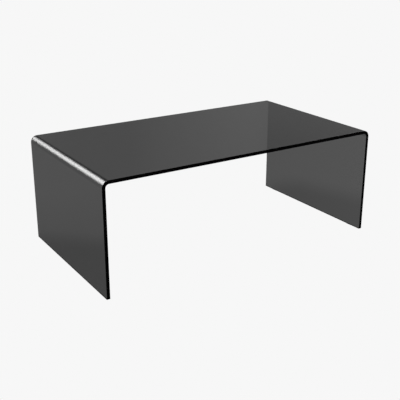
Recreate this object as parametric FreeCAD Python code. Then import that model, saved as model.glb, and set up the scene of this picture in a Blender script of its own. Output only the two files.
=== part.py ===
import FreeCAD, Part

import math
import os

# Waterfall coffee table. One sheet of smoked glass is bent down at both ends, so the same
# sheet is the top and both legs. It stands on four clear pads, each stuck to the ground
# lower edge of a leg by its own film of adhesive.
#
# Millimetres. The origin is on the floor under the middle of the table, +X runs along its
# length, +Y runs from its front to its rear and +Z is up.

# Overall size, pads included
TABLE_LENGTH = 1100.0
TABLE_DEPTH = 600.0
TABLE_HEIGHT = 400.0

# Glass sheet: the corners are the four lower ones of the legs, rounded before toughening,
# and the arris is the narrow bevel that takes the sharpness off every ground edge
GLASS_THICKNESS = 12.0
BEND_INNER_RADIUS = 13.0
CORNER_RADIUS = 2.0
ARRIS_WIDTH = 0.5

# Foot pads: moulded strips with round ends, which lie along the legs' lower edges
PAD_LENGTH = 30.0
PAD_THICKNESS = 1.8
PAD_TREAD_RADIUS = 0.6
PAD_TO_ARRIS = 1.5
PAD_TO_SHEET_EDGE = 45.0

# Adhesive films: die-cut a little smaller than the pads
FILM_THICKNESS = 0.2
FILM_TO_PAD_RIM = 0.4

# Places and sizes that follow
HALF_LENGTH = TABLE_LENGTH / 2
HALF_DEPTH = TABLE_DEPTH / 2
BEND_OUTER_RADIUS = BEND_INNER_RADIUS + GLASS_THICKNESS
BEND_CENTRE_X = HALF_LENGTH - BEND_OUTER_RADIUS
BEND_CENTRE_Z = TABLE_HEIGHT - BEND_OUTER_RADIUS
GLASS_BOTTOM = PAD_THICKNESS + FILM_THICKNESS
LEG_CENTRE_X = HALF_LENGTH - GLASS_THICKNESS / 2
GROUND_FLAT = GLASS_THICKNESS - 2 * ARRIS_WIDTH
PAD_WIDTH = GROUND_FLAT - 2 * PAD_TO_ARRIS
PAD_CENTRE_Y = HALF_DEPTH - PAD_TO_SHEET_EDGE - PAD_LENGTH / 2

LEFT, RIGHT = -1, 1
FRONT, REAR = -1, 1
MM3_PER_CM3 = 1000
UP = FreeCAD.Vector(0, 0, 1)
REARWARD = FreeCAD.Vector(0, 1, 0)


def on_front_plane(x, z):
    """A point of the sheet's side profile, in the plane of its front edge."""
    return FreeCAD.Vector(x, -HALF_DEPTH, z)


def line(start, end):
    return Part.LineSegment(start, end).toShape()


def bend(side, radius, from_leg):
    """A quarter circle about a bend's axis, from leg to top, or from top to leg."""
    angles = (0, math.pi / 4, math.pi / 2)
    points = [
        on_front_plane(
            side * (BEND_CENTRE_X + radius * math.cos(angle)),
            BEND_CENTRE_Z + radius * math.sin(angle),
        )
        for angle in angles
    ]
    if not from_leg:
        points.reverse()
    return Part.Arc(*points).toShape()


def sheet_face_line(depth_in_glass):
    """Edges along the bent sheet, left leg to right leg, at a depth below its outer face."""
    leg_x = HALF_LENGTH - depth_in_glass
    top_z = TABLE_HEIGHT - depth_in_glass
    radius = BEND_OUTER_RADIUS - depth_in_glass
    return [
        line(on_front_plane(-leg_x, GLASS_BOTTOM), on_front_plane(-leg_x, BEND_CENTRE_Z)),
        bend(LEFT, radius, from_leg=True),
        line(on_front_plane(-BEND_CENTRE_X, top_z), on_front_plane(BEND_CENTRE_X, top_z)),
        bend(RIGHT, radius, from_leg=False),
        line(on_front_plane(leg_x, BEND_CENTRE_Z), on_front_plane(leg_x, GLASS_BOTTOM)),
    ]


def sheet_profile():
    """The bent sheet seen from the front: its outer and inner lines, closed under each leg."""
    outer_line = sheet_face_line(0)
    inner_line = sheet_face_line(GLASS_THICKNESS)
    leg_ends = [
        line(
            on_front_plane(side * HALF_LENGTH, GLASS_BOTTOM),
            on_front_plane(side * (HALF_LENGTH - GLASS_THICKNESS), GLASS_BOTTOM),
        )
        for side in (LEFT, RIGHT)
    ]
    edges = Part.__sortEdges__(outer_line + inner_line + leg_ends)
    return Part.Face(Part.Wire(edges))


def lower_corner_edges(blank):
    """The four short edges under the legs, from one glass face to the other."""

    def is_at_foot(box):
        return box.ZMax < GLASS_BOTTOM + CORNER_RADIUS

    def crosses_the_sheet(box):
        return box.YLength < CORNER_RADIUS

    return [
        edge
        for edge in blank.Edges
        if is_at_foot(edge.BoundBox) and crosses_the_sheet(edge.BoundBox)
    ]


def rims_of_glass_faces(sheet):
    """The edges where the two large bent faces of the sheet meet its ground edges."""

    def is_glass_face(face):
        """A glass face runs the whole depth; a leg's lower face stops short at both corners."""
        return face.BoundBox.YLength > TABLE_DEPTH - CORNER_RADIUS

    rims = []
    for edge in sheet.Edges:
        faces = sheet.ancestorsOfType(edge, Part.Face)
        if sum(is_glass_face(face) for face in faces) == 1:
            rims.append(edge)
    return rims


def bent_glass_sheet():
    """One sheet with two bends, rounded lower corners and an arris round both faces."""
    blank = sheet_profile().extrude(REARWARD * TABLE_DEPTH)
    rounded = blank.makeFillet(CORNER_RADIUS, lower_corner_edges(blank))
    return rounded.makeChamfer(ARRIS_WIDTH, rims_of_glass_faces(rounded))


def round_ended_strip(side, end, length, width, bottom, thickness):
    """A strip with half-round ends, lying along the middle of a leg's lower edge."""
    half_width = width / 2
    half_straight = length / 2 - half_width
    middle = FreeCAD.Vector(side * LEG_CENTRE_X, end * PAD_CENTRE_Y, bottom)

    def at(x, y):
        return middle + FreeCAD.Vector(x, y, 0)

    tip = length / 2
    outline = [
        line(at(half_width, -half_straight), at(half_width, half_straight)),
        Part.Arc(
            at(half_width, half_straight), at(0, tip), at(-half_width, half_straight)
        ).toShape(),
        line(at(-half_width, half_straight), at(-half_width, -half_straight)),
        Part.Arc(
            at(-half_width, -half_straight), at(0, -tip), at(half_width, -half_straight)
        ).toShape(),
    ]
    return Part.Face(Part.Wire(outline)).extrude(UP * thickness)


def foot_pad(side, end):
    """A clear moulded pad. Its upper face takes the film, and its tread has a rounded rim."""
    strip = round_ended_strip(side, end, PAD_LENGTH, PAD_WIDTH, 0, PAD_THICKNESS)
    tread_rim = [edge for edge in strip.Edges if edge.BoundBox.ZMax < PAD_THICKNESS / 2]
    return strip.makeFillet(PAD_TREAD_RADIUS, tread_rim)


def adhesive_film(side, end):
    """The film between a pad and the ground lower edge of the glass."""
    length = PAD_LENGTH - 2 * FILM_TO_PAD_RIM
    width = PAD_WIDTH - 2 * FILM_TO_PAD_RIM
    return round_ended_strip(side, end, length, width, PAD_THICKNESS, FILM_THICKNESS)


def all_pieces():
    """Every piece of the table by the name of its node."""
    pieces = {"bent_glass_sheet": bent_glass_sheet()}
    for end, end_name in ((FRONT, "front"), (REAR, "rear")):
        for side, side_name in ((LEFT, "left"), (RIGHT, "right")):
            place = f"{end_name}_{side_name}"
            pieces[f"foot_pad_{place}"] = foot_pad(side, end)
            pieces[f"adhesive_film_{place}"] = adhesive_film(side, end)
    return pieces


os.makedirs("parts", exist_ok=True)
for name, shape in all_pieces().items():
    shape.exportStep(f"parts/{name}.step")
    box = shape.optimalBoundingBox(False, False)
    print(
        f"{name}: {len(shape.Solids)} solid, {len(shape.Faces)} faces, valid {shape.isValid()},"
        f" {box.XLength:.1f} x {box.YLength:.1f} x {box.ZLength:.1f} mm,"
        f" {shape.Volume / MM3_PER_CM3:.3f} cm3"
    )
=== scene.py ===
# %% [markdown]
# # A waterfall coffee table in smoked glass
#
# The real table is one sheet of grey-tinted glass that was heated until it sagged over a mould,
# so the top flows down into both legs. Everything the eye enjoys here comes from three things:
# a clean bend, a tint that lives inside the glass, and what the polished skin mirrors.
#
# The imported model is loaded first. It fixes the table's place and size, in metres, and nothing
# below moves or resizes it.

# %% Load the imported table
import math

import bmesh
import bpy
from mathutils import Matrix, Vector


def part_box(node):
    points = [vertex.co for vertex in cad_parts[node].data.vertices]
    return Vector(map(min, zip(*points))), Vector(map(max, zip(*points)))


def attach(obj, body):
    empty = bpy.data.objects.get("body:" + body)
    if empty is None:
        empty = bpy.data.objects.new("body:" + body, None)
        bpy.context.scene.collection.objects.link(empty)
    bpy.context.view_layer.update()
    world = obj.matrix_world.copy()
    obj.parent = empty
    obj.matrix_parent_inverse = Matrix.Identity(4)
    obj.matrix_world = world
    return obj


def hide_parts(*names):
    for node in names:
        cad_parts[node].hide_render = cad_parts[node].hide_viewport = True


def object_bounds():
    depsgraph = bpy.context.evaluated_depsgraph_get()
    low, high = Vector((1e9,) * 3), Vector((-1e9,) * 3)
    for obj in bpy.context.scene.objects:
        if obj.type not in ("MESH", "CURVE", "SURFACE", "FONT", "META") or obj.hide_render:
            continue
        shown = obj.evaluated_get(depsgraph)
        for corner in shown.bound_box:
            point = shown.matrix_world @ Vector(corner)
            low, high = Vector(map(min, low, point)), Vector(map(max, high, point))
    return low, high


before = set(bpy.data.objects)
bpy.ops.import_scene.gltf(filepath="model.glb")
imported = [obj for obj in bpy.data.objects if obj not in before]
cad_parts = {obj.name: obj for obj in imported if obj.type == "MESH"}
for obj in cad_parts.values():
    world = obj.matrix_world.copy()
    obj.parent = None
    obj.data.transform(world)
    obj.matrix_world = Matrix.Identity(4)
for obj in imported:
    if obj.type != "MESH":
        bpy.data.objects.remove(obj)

cad_low, cad_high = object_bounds()
print("nodes:", ", ".join(sorted(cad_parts)))
print("box in metres:", [round(side, 4) for side in cad_high - cad_low])

# %% [markdown]
# ## The bent sheet
#
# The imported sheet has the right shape, but only a few flat facets round each bend, and glass
# shows every facet as a broken reflection. So the sheet is modelled again with a fine bend.
#
# It could be drawn as a side view and given depth, or thickened from a single surface. Here it
# is made the way the glass runs: start with the ground end of one leg, pull it up, turn it round
# the bend, pull it along the top, and go down the other side. Each step is one operator, and
# the thickness stays exact all the way.

# %% Thickness and bend of the glass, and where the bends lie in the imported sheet's box
MM = 0.001
SHEET_THICKNESS = 12 * MM
BEND_INNER_RADIUS = 13 * MM

sheet_low, sheet_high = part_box("bent_glass_sheet")
sheet_depth = sheet_high.y - sheet_low.y
bend_outer_radius = BEND_INNER_RADIUS + SHEET_THICKNESS
bend_x = sheet_high.x - bend_outer_radius
bend_z = sheet_high.z - bend_outer_radius
left_bend = Vector((-bend_x, 0, bend_z))
right_bend = Vector((bend_x, 0, bend_z))
leg_length = bend_z - sheet_low.z
print(f"legs {leg_length:.3f} m straight, top {2 * bend_x:.3f} m flat")

# %% Two moves that grow a mesh from one of its faces
QUARTER_TURN = math.pi / 2
BEND_STEPS = 48


def pull(bm, face, along):
    """Extrudes a face by a vector and gives the face at the new end."""
    start = [face, *face.edges, *face.verts]
    grown = bmesh.ops.extrude_face_region(bm, geom=start)["geom"]
    corners = [item for item in grown if isinstance(item, bmesh.types.BMVert)]
    bmesh.ops.translate(bm, verts=corners, vec=along)
    return next(item for item in grown if isinstance(item, bmesh.types.BMFace))


def turn(bm, face, centre, angle):
    """Spins a face about an axis along Y and gives the face at the new end."""
    swept = bmesh.ops.spin(
        bm,
        geom=[face, *face.edges, *face.verts],
        cent=centre,
        axis=(0, 1, 0),
        angle=angle,
        steps=BEND_STEPS,
        use_merge=False,
    )["geom_last"]
    return next(item for item in swept if isinstance(item, bmesh.types.BMFace))


facet_length = bend_outer_radius * QUARTER_TURN / BEND_STEPS
print(f"a bend has facets {facet_length / MM:.2f} mm long")

# %% Bend the sheet, from the end of the left leg to the end of the right one
sheet_mesh = bmesh.new()
leg_end = [
    (sheet_low.x, sheet_low.y),
    (sheet_low.x, sheet_high.y),
    (sheet_low.x + SHEET_THICKNESS, sheet_high.y),
    (sheet_low.x + SHEET_THICKNESS, sheet_low.y),
]
face = sheet_mesh.faces.new([sheet_mesh.verts.new((x, y, sheet_low.z)) for x, y in leg_end])
face = pull(sheet_mesh, face, Vector((0, 0, leg_length)))
face = turn(sheet_mesh, face, left_bend, QUARTER_TURN)
face = pull(sheet_mesh, face, right_bend - left_bend)
face = turn(sheet_mesh, face, right_bend, QUARTER_TURN)
face = pull(sheet_mesh, face, Vector((0, 0, -leg_length)))
bmesh.ops.recalc_face_normals(sheet_mesh, faces=sheet_mesh.faces)
open_edges = [edge for edge in sheet_mesh.edges if not edge.is_manifold]
print(f"bent sheet: {len(sheet_mesh.faces)} faces, {len(open_edges)} open edges")

# %% [markdown]
# ## Corners and arris
#
# Glass is never left with sharp edges. Before it was toughened, the four lower corners of the
# legs were rounded a little, and a belt took a narrow bevel off every rim. That bevel is called
# an arris, and it runs without a break round both faces of the sheet.
#
# Two bevels do this, in the workshop's order: first the corners, in several steps to make them
# round, then the rims, in one step because an arris is flat. A rim is found by what it parts:
# a glass face, which runs the whole depth of the table, from a ground face, which doesn't once
# the corners are round.

# %% Round the lower corners of the legs
CORNER_RADIUS = 2 * MM
CORNER_STEPS = 8


def bevel(bm, edges, width, steps):
    bmesh.ops.bevel(
        bm,
        geom=edges,
        offset=width,
        offset_type="OFFSET",
        affect="EDGES",
        segments=steps,
        profile=0.5,
        material=-1,
    )


lower_corners = [
    edge
    for edge in sheet_mesh.edges
    if all(vert.co.z < sheet_low.z + CORNER_RADIUS for vert in edge.verts)
    and abs(edge.verts[0].co.y - edge.verts[1].co.y) < CORNER_RADIUS
]
bevel(sheet_mesh, lower_corners, CORNER_RADIUS, CORNER_STEPS)
print(f"{len(lower_corners)} corners rounded")

# %% Find the rims and take the arris off them
ARRIS_WIDTH = 0.5 * MM
ARRIS_STEPS = 1
CM3_PER_M3 = 1e6


def depth_of(face):
    """How far a face runs from front to rear."""
    ends = [vert.co.y for vert in face.verts]
    return max(ends) - min(ends)


def is_glass_face(face):
    """Tells glass faces from ground ones, before the arris is taken off and after it."""
    return depth_of(face) > sheet_depth - CORNER_RADIUS - ARRIS_WIDTH


rims = [
    edge
    for edge in sheet_mesh.edges
    if sum(is_glass_face(face) for face in edge.link_faces) == 1
]
bevel(sheet_mesh, rims, ARRIS_WIDTH, ARRIS_STEPS)
bmesh.ops.recalc_face_normals(sheet_mesh, faces=sheet_mesh.faces)
print(f"{len(rims)} rim edges bevelled,", end=" ")
print(f"{sheet_mesh.calc_volume() * CM3_PER_M3:.0f} cm3 of glass")

# %% [markdown]
# ## From bmesh to a piece of the table
#
# The finish needs to know the ground edges from the glass faces, so each face carries a number,
# `ground_edge`, that the material reads later. One material with that number is better than two
# materials: the tint is a volume, and light has to leave it through the same material by which
# it came in.
#
# Shading is smooth round the bends and sharp at the arris. A plain smooth shade would also tilt
# the light on the big flat faces, because their corners lean towards the bends. The Weighted
# Normal modifier lets the large faces win, so they stay mirror flat.

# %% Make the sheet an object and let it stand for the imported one
SHARPEST_SMOOTH = math.radians(20)

ground_edge = sheet_mesh.faces.layers.float.new("ground_edge")
for face in sheet_mesh.faces:
    face[ground_edge] = 0.0 if is_glass_face(face) else 1.0
sheet_data = bpy.data.meshes.new("smoked_glass_sheet")
sheet_mesh.to_mesh(sheet_data)
sheet_mesh.free()
sheet_data.shade_smooth()
sheet_data.set_sharp_from_angle(angle=SHARPEST_SMOOTH)

glass_sheet = bpy.data.objects.new("smoked_glass_sheet", sheet_data)
bpy.context.scene.collection.objects.link(glass_sheet)
flat_light = glass_sheet.modifiers.new("flat faces stay flat", "WEIGHTED_NORMAL")
flat_light.keep_sharp = True

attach(glass_sheet, "root")
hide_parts("bent_glass_sheet")
print(f"{glass_sheet.name}: {len(sheet_data.polygons)} faces, replaces bent_glass_sheet")

# %% [markdown]
# ## Helpers for materials
#
# Colours are written as the sRGB hex values that a paint program shows, and one function turns
# them into the linear light that the renderer adds up. Another small function adds a node, sets
# it and links it, so that a material below reads like a list of what feeds what.

# %% Colours and nodes
def linear(hex_colour):
    """Linear red, green, blue and alpha of a colour such as '#808080', by the sRGB curve."""
    shares = [int(hex_colour[i : i + 2], 16) / 255 for i in (1, 3, 5)]
    light = [s / 12.92 if s <= 0.04045 else ((s + 0.055) / 1.055) ** 2.4 for s in shares]
    return (*light, 1.0)


def add(tree, kind, values=None, links=None, **settings):
    """Adds a node, with its settings, the values of its inputs and what its inputs link to."""
    node = tree.nodes.new(kind)
    # Settings come first, because they decide which socket a name stands for.
    for name, setting in settings.items():
        setattr(node, name, setting)
    for socket, value in (values or {}).items():
        node.inputs[socket].default_value = value
    for socket, source in (links or {}).items():
        tree.links.new(source, node.inputs[socket])
    return node


def new_material(name):
    material = bpy.data.materials.new(name)
    material.use_nodes = True
    material.node_tree.nodes.clear()
    return material, material.node_tree


print(f"a screen's middle grey #808080 is {linear('#808080')[0]:.0%} of white light")

# %% [markdown]
# ## Smoked glass
#
# Grey float glass gets its colour from a pinch of metal oxide melted into it, so the tint is
# deeper where light travels further. That is why the sheet is see-through on its face and black
# when one looks into its edge. A grey base colour would miss that: it paints both alike.
#
# So the surface is clear glass, and the tint is an absorbing volume inside. Its strength is a
# real property, the light lost per millimetre. Float glass is flat to the eye, yet toughening on
# rollers leaves long shallow waves, which only bend what it mirrors. The faces have a trace of
# wiping marks, and the ground edges, polished by belts, are a little less glossy.

# %% Grey float glass, heat bent and toughened: the gloss of its wiped faces
WIPING_MARK = 90 * MM
WIPING_SWIRLS = {"Detail": 4.0, "Roughness": 0.6, "Distortion": 0.4}
WIPED_FROM, WIPED_TO = 0.45, 0.75
CLEAN_ROUGHNESS, WIPED_ROUGHNESS = 0.0, 0.012

smoked_glass, tree = new_material("smoked_float_glass")
place = add(tree, "ShaderNodeTexCoord").outputs["Object"]
wiping = add(
    tree,
    "ShaderNodeTexNoise",
    values={"Scale": 1 / WIPING_MARK, **WIPING_SWIRLS},
    links={"Vector": place},
)
face_gloss = add(
    tree,
    "ShaderNodeMapRange",
    values={
        "From Min": WIPED_FROM,
        "From Max": WIPED_TO,
        "To Min": CLEAN_ROUGHNESS,
        "To Max": WIPED_ROUGHNESS,
    },
    links={"Value": wiping.outputs["Fac"]},
)
print(f"{smoked_glass.name}: wiping marks of {WIPING_MARK / MM:.0f} mm on the faces")

# %% The gloss of its belt-polished edges
# Real belt marks are finer. They are drawn this coarse so that a close view can show them.
BELT_MARK = 2 * MM
EDGE_ROUGHNESS = (0.01, 0.04)

edge = add(tree, "ShaderNodeAttribute", attribute_name="ground_edge").outputs["Fac"]
polishing = add(
    tree,
    "ShaderNodeTexNoise",
    values={"Scale": 1 / BELT_MARK},
    links={"Vector": place},
)
edge_gloss = add(
    tree,
    "ShaderNodeMapRange",
    values={"To Min": EDGE_ROUGHNESS[0], "To Max": EDGE_ROUGHNESS[1]},
    links={"Value": polishing.outputs["Fac"]},
)
gloss = add(
    tree,
    "ShaderNodeMix",
    links={"Factor": edge, "A": face_gloss.outputs["Result"], "B": edge_gloss.outputs["Result"]},
)
print(f"{smoked_glass.name}: belt marks of {BELT_MARK / MM:.0f} mm on the edges")

# %% Its clear skin, with the long shallow waves of the rollers
GLASS_IOR = 1.52
ROLLER_WAVE = 300 * MM
ROLLER_WAVE_HEIGHT = 0.05 * MM
NO_RIPPLES = 0.0

wave = add(
    tree,
    "ShaderNodeTexNoise",
    values={"Scale": 1 / ROLLER_WAVE, "Detail": NO_RIPPLES},
    links={"Vector": place},
)
rolled = add(
    tree,
    "ShaderNodeBump",
    values={"Distance": ROLLER_WAVE_HEIGHT},
    links={"Height": wave.outputs["Fac"]},
)
skin = add(
    tree,
    "ShaderNodeBsdfPrincipled",
    values={"Base Color": linear("#FFFFFF"), "Transmission Weight": 1.0, "IOR": GLASS_IOR},
    links={"Roughness": gloss.outputs["Result"], "Normal": rolled.outputs["Normal"]},
)
print(f"{smoked_glass.name}: waves of {ROLLER_WAVE / MM:.0f} mm in its skin")

# %% The tint inside it
# Absorption takes 1 less the colour, times the density, so the density is set for the wanted loss.
GLASS_TINT = "#2B2B2B"
LOSS_PER_MM = 0.183

loss_per_metre = LOSS_PER_MM / MM
tint = add(
    tree,
    "ShaderNodeVolumeAbsorption",
    values={"Color": linear(GLASS_TINT), "Density": loss_per_metre / (1 - linear(GLASS_TINT)[0])},
)
add(
    tree,
    "ShaderNodeOutputMaterial",
    links={"Surface": skin.outputs["BSDF"], "Volume": tint.outputs["Volume"]},
)
glass_sheet.data.materials.append(smoked_glass)
through_sheet = math.exp(-loss_per_metre * SHEET_THICKNESS)
print(f"smoked glass lets {through_sheet:.0%} of the light straight through one sheet")

# %% [markdown]
# ## Pads and their adhesive
#
# The table stands on four clear bumpers, moulded in polyurethane, each on a film of acrylic
# adhesive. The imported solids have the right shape, so they stay, and only their finish is made.
#
# Clear soft plastic isn't as crisp as glass. Its skin is slightly matt from the mould, and it
# is a little milky inside. The film is thinner and rougher, with the faint mottle of glue that
# has wetted the glass unevenly. A pad is less than a pixel high from where the camera stands, so
# grain and mottle keep their real sizes, for views from close by.

# %% Clear polyurethane, moulded
PAD_IOR = 1.50
PAD_COLOUR = "#EEF0EF"
PAD_CLEARNESS = 0.85
PAD_ROUGHNESS = (0.154, 0.286)
MOULD_GRAIN = 0.4 * MM
MOULD_GRAIN_HEIGHT = 0.004 * MM
MOULD_GRAIN_DETAIL = 3.0

pad_plastic, tree = new_material("clear_polyurethane")
place = add(tree, "ShaderNodeTexCoord").outputs["Object"]
grain = add(
    tree,
    "ShaderNodeTexNoise",
    values={"Scale": 1 / MOULD_GRAIN, "Detail": MOULD_GRAIN_DETAIL},
    links={"Vector": place},
)
matt = add(
    tree,
    "ShaderNodeMapRange",
    values={"To Min": PAD_ROUGHNESS[0], "To Max": PAD_ROUGHNESS[1]},
    links={"Value": grain.outputs["Fac"]},
)
pitted = add(
    tree,
    "ShaderNodeBump",
    values={"Distance": MOULD_GRAIN_HEIGHT},
    links={"Height": grain.outputs["Fac"]},
)
skin = add(
    tree,
    "ShaderNodeBsdfPrincipled",
    values={
        "Base Color": linear(PAD_COLOUR),
        "Transmission Weight": PAD_CLEARNESS,
        "IOR": PAD_IOR,
    },
    links={"Roughness": matt.outputs["Result"], "Normal": pitted.outputs["Normal"]},
)
add(tree, "ShaderNodeOutputMaterial", links={"Surface": skin.outputs["BSDF"]})
print(f"{pad_plastic.name}: grain of {MOULD_GRAIN / MM} mm")

# %% Acrylic adhesive film, die-cut
FILM_IOR = 1.48
FILM_COLOUR = "#E9E7DF"
FILM_CLEARNESS = 0.8
FILM_ROUGHNESS = (0.21, 0.49)
GLUE_MOTTLE = 1.5 * MM

film_glue, tree = new_material("acrylic_adhesive")
place = add(tree, "ShaderNodeTexCoord").outputs["Object"]
mottle = add(
    tree,
    "ShaderNodeTexNoise",
    values={"Scale": 1 / GLUE_MOTTLE},
    links={"Vector": place},
)
wetted = add(
    tree,
    "ShaderNodeMapRange",
    values={"To Min": FILM_ROUGHNESS[0], "To Max": FILM_ROUGHNESS[1]},
    links={"Value": mottle.outputs["Fac"]},
)
skin = add(
    tree,
    "ShaderNodeBsdfPrincipled",
    values={
        "Base Color": linear(FILM_COLOUR),
        "Transmission Weight": FILM_CLEARNESS,
        "IOR": FILM_IOR,
    },
    links={"Roughness": wetted.outputs["Result"]},
)
add(tree, "ShaderNodeOutputMaterial", links={"Surface": skin.outputs["BSDF"]})
print(f"{film_glue.name}: mottle of {GLUE_MOTTLE / MM} mm")

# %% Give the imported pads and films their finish
def dress(name_start, material):
    dressed = [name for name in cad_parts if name.startswith(name_start)]
    for name in dressed:
        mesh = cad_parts[name].data
        mesh.materials.clear()
        mesh.materials.append(material)
    print(f"{material.name} on {len(dressed)} nodes")


dress("foot_pad", pad_plastic)
dress("adhesive_film", film_glue)

# %% [markdown]
# ## The floor
#
# The table stands on a plain pale page with no shadow, as a cut-out product picture does. A lit
# floor would bring shadows, so the floor glows evenly instead, at the page's own grey.
#
# The floor shows to the eye and through the glass, but the glass doesn't mirror it: in the
# photograph its reflections are those of a dim studio. Ray visibility does that per object.

# %% A pale page under the table
PAGE = "#F7F7F7"
FLOOR_SIZE = 200.0
FLOOR_BELOW_PADS = 0.05 * MM

floor_mesh = bmesh.new()
bmesh.ops.create_grid(floor_mesh, x_segments=1, y_segments=1, size=FLOOR_SIZE / 2)
bmesh.ops.translate(
    floor_mesh, verts=floor_mesh.verts, vec=(0, 0, cad_low.z - FLOOR_BELOW_PADS)
)
floor_data = bpy.data.meshes.new("floor")
floor_mesh.to_mesh(floor_data)
floor_mesh.free()
floor = bpy.data.objects.new("floor", floor_data)
bpy.context.scene.collection.objects.link(floor)
floor.visible_glossy = False

page_paper, tree = new_material("page")
glow = add(tree, "ShaderNodeEmission", values={"Color": linear(PAGE)})
add(tree, "ShaderNodeOutputMaterial", links={"Surface": glow.outputs["Emission"]})
floor_data.materials.append(page_paper)
print(f"floor {FLOOR_SIZE:.0f} m wide at {PAGE}")

# %% [markdown]
# ## The studio that the glass mirrors
#
# Polished glass shows its surroundings more than itself, so the room matters as much as the
# material. The room is dim: grey walls that brighten towards both sides and upwards, and a floor
# that is lit only at the rear left, with the table's shade on the part next to it.
#
# A real room could be built round the table, but its walls would need lamps and tuning. It is
# enough to paint what each direction shows, by compass and by height, on the world. Only mirrored
# light meets that paint. What looks past the floor, straight or through the glass, meets the page
# again, up to the height where a paper sweep would end.

# %% Which way a mirrored ray looks: round the compass, and up or down
HALF_TURN = math.pi

world = bpy.data.worlds.new("studio")
bpy.context.scene.world = world
world.use_nodes = True
tree = world.node_tree
tree.nodes.clear()
towards = add(tree, "ShaderNodeTexCoord").outputs["Generated"]
part = add(tree, "ShaderNodeSeparateXYZ", links={"Vector": towards}).outputs
height = part["Z"]
compass = add(
    tree, "ShaderNodeMath", operation="ARCTAN2", links={0: part["X"], 1: part["Y"]}
).outputs["Value"]
round_the_room = add(
    tree,
    "ShaderNodeMapRange",
    values={"From Min": -HALF_TURN, "From Max": HALF_TURN},
    links={"Value": compass},
).outputs["Result"]
print("directions from", towards.name, "coordinates of the world")

# %% Levels of grey by compass direction, in degrees from straight behind the table
WALL_LEVELS = (
    (-180, 0.16),
    (-90, 0.25),
    (-30, 0.20),
    (6, 0.20),
    (15, 0.19),
    (22, 0.16),
    (27, 0.16),
    (29, 0.19),
    (36, 0.26),
    (38, 0.25),
    (46, 0.285),
    (180, 0.16),
)
FLOOR_LEVELS = (
    (-180, 0.02),
    (-100, 0.10),
    (-60, 0.40),
    (-42, 0.34),
    (-21, 0.24),
    (0, 0.10),
    (20, 0.04),
    (180, 0.02),
)
SHADE_LEVELS = (
    (-180, 0.01),
    (-42, 0.04),
    (-21, 0.10),
    (0, 0.04),
    (180, 0.01),
)
print(f"greys round the room: {len(WALL_LEVELS)} on the walls, {len(FLOOR_LEVELS)} on the floor")

# %% Paint the walls, the lit floor and the shaded floor round the room
def grey(level):
    return (level, level, level, 1)


def paint_round(levels):
    """A ramp round the room, from pairs of compass degrees and the level there."""
    ramp = add(tree, "ShaderNodeValToRGB", links={"Fac": round_the_room})
    stops = ramp.color_ramp.elements
    for degrees, level in levels:
        share = (degrees + 180) / 360
        ends = {0.0: stops[0], 1.0: stops[-1]}
        stop = ends.get(share) or stops.new(share)
        stop.color = grey(level)
    return ramp.outputs["Color"]


walls = paint_round(WALL_LEVELS)
lit_floor = paint_round(FLOOR_LEVELS)
shaded_floor = paint_round(SHADE_LEVELS)
print(f"{len(tree.nodes)} nodes so far")

# %% Where the table's shade ends on the floor: a drop below the horizon, by compass
SHADE_DROPS = (
    (-180, 0.39),
    (-45, 0.34),
    (-40, 0.325),
    (-24, 0.40),
    (-20, 0.39),
    (180, 0.39),
)
SHADE_SOFTNESS = 0.014

shade_drop = paint_round(SHADE_DROPS)
above_border = add(
    tree, "ShaderNodeMath", operation="ADD", links={0: height, 1: shade_drop}
).outputs["Value"]
out_of_shade = add(
    tree,
    "ShaderNodeMapRange",
    interpolation_type="SMOOTHSTEP",
    values={"From Min": -SHADE_SOFTNESS, "From Max": SHADE_SOFTNESS},
    links={"Value": above_border},
).outputs["Result"]
drops = [drop for _, drop in SHADE_DROPS]
print(f"the shade ends at drops from {min(drops)} to {max(drops)}")

# %% The studio's floor: lit, dimmer towards the table, then in its shade
DIM_DROP = 0.41
BRIGHT_DROP = 0.335
DIM_SHARE = 0.72

lit_share = add(
    tree,
    "ShaderNodeMapRange",
    values={"From Min": -DIM_DROP, "From Max": -BRIGHT_DROP, "To Min": DIM_SHARE},
    links={"Value": height},
).outputs["Result"]
dimmed_floor = add(
    tree, "ShaderNodeVectorMath", operation="SCALE", links={0: lit_floor, "Scale": lit_share}
).outputs["Vector"]
studio_floor = add(
    tree,
    "ShaderNodeMix",
    data_type="RGBA",
    links={"Factor": out_of_shade, "A": shaded_floor, "B": dimmed_floor},
).outputs["Result"]
print(f"the floor falls to {DIM_SHARE:.0%} of its light before the shade begins")

# %% Walls that brighten upwards
DIM_WALL_HEIGHT = 0.20
BRIGHT_WALL_HEIGHT = 0.34
WALL_SHARES = (0.92, 1.10)

wall_share = add(
    tree,
    "ShaderNodeMapRange",
    values={
        "From Min": DIM_WALL_HEIGHT,
        "From Max": BRIGHT_WALL_HEIGHT,
        "To Min": WALL_SHARES[0],
        "To Max": WALL_SHARES[1],
    },
    links={"Value": height},
).outputs["Result"]
studio_walls = add(
    tree, "ShaderNodeVectorMath", operation="SCALE", links={0: walls, "Scale": wall_share}
).outputs["Vector"]
print(f"the walls go from {WALL_SHARES[0]:.0%} to {WALL_SHARES[1]:.0%} of their levels")

# %% Floor, walls and ceiling by height
WALLS_START = (-0.08, 0.04)
CEILING_STARTS = (0.45, 0.80)
CEILING_LEVEL = 0.12

up_the_wall, up_to_ceiling = [
    add(
        tree,
        "ShaderNodeMapRange",
        interpolation_type="SMOOTHSTEP",
        values={"From Min": starts, "From Max": ends},
        links={"Value": height},
    ).outputs["Result"]
    for starts, ends in (WALLS_START, CEILING_STARTS)
]
lower_room = add(
    tree,
    "ShaderNodeMix",
    data_type="RGBA",
    links={"Factor": up_the_wall, "A": studio_floor, "B": studio_walls},
).outputs["Result"]
room = add(
    tree,
    "ShaderNodeMix",
    data_type="RGBA",
    values={"B": grey(CEILING_LEVEL)},
    links={"Factor": up_to_ceiling, "A": lower_room},
).outputs["Result"]
print(f"{len(tree.nodes)} nodes paint the room")

# %% The page for what isn't mirrored
PAGE_FADES = (0.22, 0.32)

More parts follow.
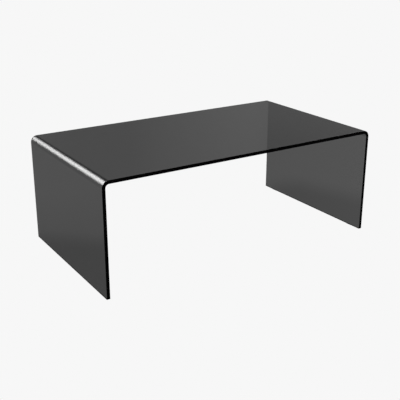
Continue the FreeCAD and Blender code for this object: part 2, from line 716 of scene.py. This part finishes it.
mirrored_room = add(tree, "ShaderNodeBackground", links={"Color": room}).outputs["Background"]
page = add(tree, "ShaderNodeBackground", values={"Color": linear(PAGE)}).outputs["Background"]
ray = add(tree, "ShaderNodeLightPath").outputs
# From Min is the higher one, so that the page fades out upwards.
on_the_page = add(
    tree,
    "ShaderNodeMapRange",
    interpolation_type="SMOOTHSTEP",
    values={"From Min": PAGE_FADES[1], "From Max": PAGE_FADES[0]},
    links={"Value": height},
).outputs["Result"]
through_glass = add(
    tree,
    "ShaderNodeMath",
    operation="MULTIPLY",
    links={0: ray["Is Transmission Ray"], 1: on_the_page},
).outputs["Value"]
sees_page = add(
    tree,
    "ShaderNodeMath",
    operation="MAXIMUM",
    links={0: ray["Is Camera Ray"], 1: through_glass},
).outputs["Value"]
shown = add(tree, "ShaderNodeMixShader", links={0: sees_page, 1: mirrored_room, 2: page})
add(tree, "ShaderNodeOutputWorld", links={"Surface": shown.outputs["Shader"]})
print(f"world of {len(tree.nodes)} nodes")

# %% [markdown]
# ## The lamp on the bend
#
# The bright line along the left bend is a lamp, drawn thin by the curve. A lamp behind the table
# would draw it too, but the flat top would mirror that lamp as a white patch for anyone who
# walks round. So this one is a slim curved strip that hugs the bend, a few millimetres from the
# glass: from any side its image stays on the bend.
#
# It is brightest along its middle and fades out to both long sides, as a tube behind a diffuser
# does. Emission is added to a transparent skin, so where the lamp has faded out, the glass
# mirrors the room through it.

# %% A curved strip of light about the left bend's axis, seen only in the glass
LAMP_GAP = 3 * MM
LAMP_ENDS = (-297 * MM, 302 * MM)
LAMP_MIDDLE = math.radians(132)
LAMP_REACH = math.radians(26)
LAMP_STEPS = 16

lamp_radius = bend_outer_radius + LAMP_GAP
low_side_x = left_bend.x + lamp_radius * math.cos(LAMP_MIDDLE + LAMP_REACH)
low_side_z = left_bend.z + lamp_radius * math.sin(LAMP_MIDDLE + LAMP_REACH)
lamp_mesh = bmesh.new()
ends = [lamp_mesh.verts.new((low_side_x, end, low_side_z)) for end in LAMP_ENDS]
low_edge = lamp_mesh.edges.new(ends)
bmesh.ops.spin(
    lamp_mesh,
    geom=[low_edge, *ends],
    cent=left_bend,
    axis=(0, 1, 0),
    angle=2 * LAMP_REACH,
    steps=LAMP_STEPS,
    use_merge=False,
)
lamp_data = bpy.data.meshes.new("bend_lamp")
lamp_mesh.to_mesh(lamp_data)
lamp_mesh.free()
lamp_data.shade_smooth()
lamp = bpy.data.objects.new("bend_lamp", lamp_data)
bpy.context.scene.collection.objects.link(lamp)
lamp.visible_camera = False
lamp.visible_transmission = False
lamp.visible_diffuse = False
lamp.visible_shadow = False
print(f"{lamp.name}: {len(lamp_data.polygons)} faces")

# %% How far a point of the lamp lies from its middle line
lamp_glow, tree = new_material("lamp_diffuser")
place = add(tree, "ShaderNodeTexCoord").outputs["Object"]
from_axis = add(
    tree,
    "ShaderNodeVectorMath",
    operation="SUBTRACT",
    values={1: left_bend},
    links={0: place},
).outputs["Vector"]
part = add(tree, "ShaderNodeSeparateXYZ", links={"Vector": from_axis}).outputs
turned = add(
    tree, "ShaderNodeMath", operation="ARCTAN2", links={0: part["Z"], 1: part["X"]}
).outputs["Value"]
past_middle = add(
    tree, "ShaderNodeMath", operation="SUBTRACT", values={1: LAMP_MIDDLE}, links={0: turned}
).outputs["Value"]
from_middle = add(
    tree, "ShaderNodeMath", operation="ABSOLUTE", links={0: past_middle}
).outputs["Value"]
print(f"{lamp_glow.name}: middle at {math.degrees(LAMP_MIDDLE):.0f} degrees about the bend")

# %% The lamp's glow, stronger towards the front
LAMP_STRENGTHS = (8.0, 4.8)

# From Min is the larger one here too, so that the glow fades out away from the middle.
glow_share = add(
    tree,
    "ShaderNodeMapRange",
    interpolation_type="SMOOTHSTEP",
    values={"From Min": LAMP_REACH, "From Max": 0},
    links={"Value": from_middle},
).outputs["Result"]
along = add(
    tree,
    "ShaderNodeMapRange",
    values={
        "From Min": LAMP_ENDS[0],
        "From Max": LAMP_ENDS[1],
        "To Min": LAMP_STRENGTHS[0],
        "To Max": LAMP_STRENGTHS[1],
    },
    links={"Value": part["Y"]},
).outputs["Result"]
strength = add(
    tree, "ShaderNodeMath", operation="MULTIPLY", links={0: glow_share, 1: along}
).outputs["Value"]
glow = add(tree, "ShaderNodeEmission", links={"Strength": strength})
clear = add(tree, "ShaderNodeBsdfTransparent")
lit = add(
    tree,
    "ShaderNodeAddShader",
    links={0: glow.outputs["Emission"], 1: clear.outputs["BSDF"]},
)
add(tree, "ShaderNodeOutputMaterial", links={"Surface": lit.outputs["Shader"]})
lamp_data.materials.append(lamp_glow)
print(f"lamp strength {LAMP_STRENGTHS[0]} in front, {LAMP_STRENGTHS[1]} at the rear")

# %% [markdown]
# ## The camera
#
# The camera stands where the photographer's stood. Straight edges of the table were measured in
# the photograph, and a camera was fitted to them, so its place, its lens and the centre of its
# picture are known. Lens and centre are given in the photograph's own pixels. They were then
# nudged, by a fifth of a percent and less than a tenth of a pixel, until the render lay on the
# photograph.

# %% The photograph's camera
PHOTO_SIDE_PX = 400
FOCAL_PX = 735.71
CENTRE_X_PX = 197.64
CENTRE_Y_PX = 188.64
SENSOR_MM = 36.0
CAMERA_PLACE = Vector((-1.4191, -2.2099, 1.1228))
LOOKS_TOWARDS = math.radians(32.3456)
LOOKS_DOWN = math.radians(19.7135)

camera_data = bpy.data.cameras.new("camera")
camera_data.sensor_width = SENSOR_MM
camera_data.lens = SENSOR_MM * FOCAL_PX / PHOTO_SIDE_PX
camera_data.shift_x = (PHOTO_SIDE_PX / 2 - CENTRE_X_PX) / PHOTO_SIDE_PX
camera_data.shift_y = (CENTRE_Y_PX - PHOTO_SIDE_PX / 2) / PHOTO_SIDE_PX
camera = bpy.data.objects.new("camera", camera_data)
camera.location = CAMERA_PLACE
camera.rotation_euler = (QUARTER_TURN - LOOKS_DOWN, 0, -LOOKS_TOWARDS)
bpy.context.scene.collection.objects.link(camera)
bpy.context.scene.camera = camera
print(f"lens {camera_data.lens:.1f} mm, {CAMERA_PLACE.length:.2f} m from the table's foot")

# %% [markdown]
# ## Finishing
#
# The Standard view shows colours as they are, with no film-like curve, so the page stays at its
# grey.

# %% Colours as they are
bpy.context.scene.view_settings.view_transform = "Standard"
bpy.context.scene.view_settings.look = "None"
